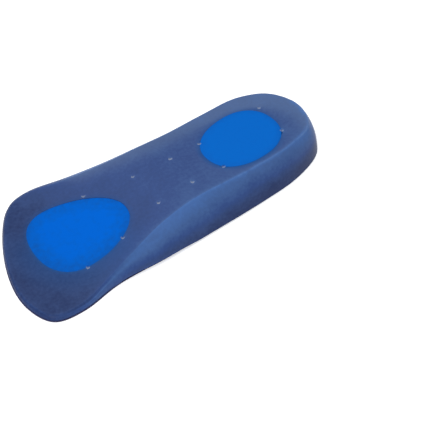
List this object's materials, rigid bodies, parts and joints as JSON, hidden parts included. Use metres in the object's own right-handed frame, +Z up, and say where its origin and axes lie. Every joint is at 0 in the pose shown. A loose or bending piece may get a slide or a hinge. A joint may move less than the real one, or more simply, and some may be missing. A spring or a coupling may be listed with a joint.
{
  "type": "silicone insole",
  "caption": "Three-quarter silicone insole with a heel cup and raised arch, blue gel pads set flush in its sole and a thin dark cloth on the foot side, lying face down.",
  "frame": {"origin": "on the table, under the middle of the bounding box, as the insole lies with its sole up", "axes": "+X from the toe edge to the heel, +Y to the outer side of the foot, +Z up, out of the sole"},
  "size_m": [0.1798, 0.08, 0.017],
  "materials": {
    "silicone": "satin, translucent",
    "gel": "satin",
    "cover": "matte knit"
  },
  "bodies": {
    "root": {"silicone_body": "silicone", "heel_pad": "gel", "ball_pad": "gel", "top_cover": "cover"}
  },
  "joints": []
}
